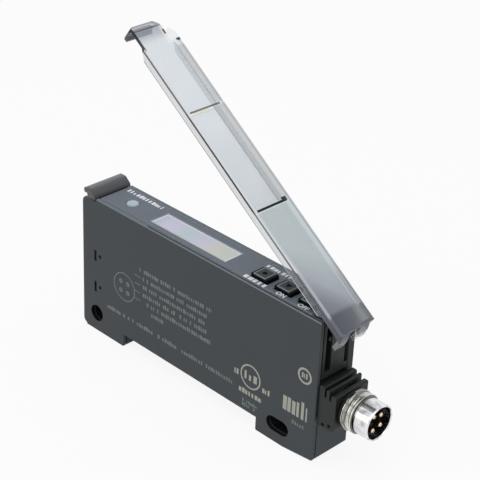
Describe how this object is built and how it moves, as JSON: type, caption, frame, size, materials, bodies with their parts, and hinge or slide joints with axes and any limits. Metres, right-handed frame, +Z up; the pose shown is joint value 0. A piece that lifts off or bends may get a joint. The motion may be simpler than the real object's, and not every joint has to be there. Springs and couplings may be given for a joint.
{
  "type": "fibre optic sensor amplifier",
  "caption": "Slim rail-mounted fibre optic sensor amplifier with a clear hinged dust cover, a display, keys, a fibre lock lever and a round metal plug.",
  "frame": {"origin": "centre of the rail seat under the case, in the middle of the case's width", "axes": "+X towards the plug, -Y towards the side plate, +Z up from the rail"},
  "size_m": [0.0774, 0.0094, 0.0704],
  "materials": {
    "slate_plastic": "slate grey moulded plastic, fine matt texture",
    "slate_plate_plastic": "slate grey moulded plastic, fine matt texture",
    "panel_plastic": "mid grey blue printed panel",
    "key_plastic": "near black key caps",
    "window_plastic": "pale clear display window",
    "display_glass": "pale display module",
    "lens_plastic": "pale blue indicator lens",
    "led_resin": "pale light emitting part",
    "emitter_resin": "red emitter resin",
    "diode_resin": "dark receiver resin",
    "switch_plate": "bare switch plate",
    "tin_plate": "tin plate",
    "board_laminate": "green board laminate",
    "chip_resin": "black chip resin",
    "lever_plastic": "dark grey lever",
    "pin_steel": "ground steel",
    "clamp_bronze": "stamped bronze",
    "optics_plastic": "black optical holder",
    "hook_plastic": "black rail hook",
    "cover_plastic": "clear, faintly smoky cover",
    "end_plastic": "black end mouldings",
    "seal_rubber": "black sealing rubber",
    "plug_nickel": "bright nickel plating, slightly warm",
    "insert_plastic": "black brown insert",
    "pin_gold": "gold plated contacts"
  },
  "bodies": {
    "amplifier": {"case_shell": "slate_plastic", "case_side_plate": "slate_plate_plastic", "control_panel": "panel_plastic", "display_window": "window_plastic", "display_module": "display_glass", "indicator_lens": "lens_plastic", "status_led": "led_resin", "key_switch_1": "switch_plate", "key_switch_2": "switch_plate", "key_switch_3": "switch_plate", "panel_board": "board_laminate", "main_board": "board_laminate", "processor_chip": "chip_resin", "driver_chip": "chip_resin", "capacitor": "tin_plate", "lever_pin": "pin_steel", "optical_block": "optics_plastic", "fibre_clamp": "clamp_bronze", "clamp_spring": "pin_steel", "emitter_led": "emitter_resin", "receiver_diode": "diode_resin", "receiver_shield": "tin_plate", "rail_spring": "pin_steel", "hinge_block": "end_plastic", "hinge_pin": "pin_steel", "connector_block": "end_plastic", "sealing_ring": "seal_rubber", "connector_shell": "plug_nickel", "connector_insert": "insert_plastic", "contact_pin_1": "pin_gold", "contact_pin_2": "pin_gold", "contact_pin_3": "pin_gold", "contact_pin_4": "pin_gold"},
    "cover": {"dust_cover": "cover_plastic"},
    "lever": {"lock_lever": "lever_plastic"},
    "mode_button": {"mode_key": "key_plastic"},
    "on_button": {"on_key": "key_plastic"},
    "off_button": {"off_key": "key_plastic"},
    "hook": {"rail_hook": "hook_plastic"}
  },
  "joints": [
    {"name": "cover_hinge", "type": "hinge", "parent": "amplifier", "child": "cover", "pos_m": [0.032, 0, 0.026], "axis": [0, 1, 0], "range_deg": [-35.5, 22]},
    {"name": "lever_turn", "type": "hinge", "parent": "amplifier", "child": "lever", "pos_m": [-0.0305, 0, 0.023], "axis": [0, -1, 0], "range_deg": [0, 80]},
    {"name": "mode_press", "type": "slide", "parent": "amplifier", "child": "mode_button", "axis": [0, 0, -1], "range_m": [0, 0.0003], "stiffness_N_per_m": 2000},
    {"name": "on_press", "type": "slide", "parent": "amplifier", "child": "on_button", "axis": [0, 0, -1], "range_m": [0, 0.0003], "stiffness_N_per_m": 2000},
    {"name": "off_press", "type": "slide", "parent": "amplifier", "child": "off_button", "axis": [0, 0, -1], "range_m": [0, 0.0003], "stiffness_N_per_m": 2000},
    {"name": "hook_slide", "type": "slide", "parent": "amplifier", "child": "hook", "axis": [-1, 0, 0], "range_m": [0, 0.0015], "stiffness_N_per_m": 400, "springref_m": -0.001, "deforming": ["rail_spring"]}
  ]
}
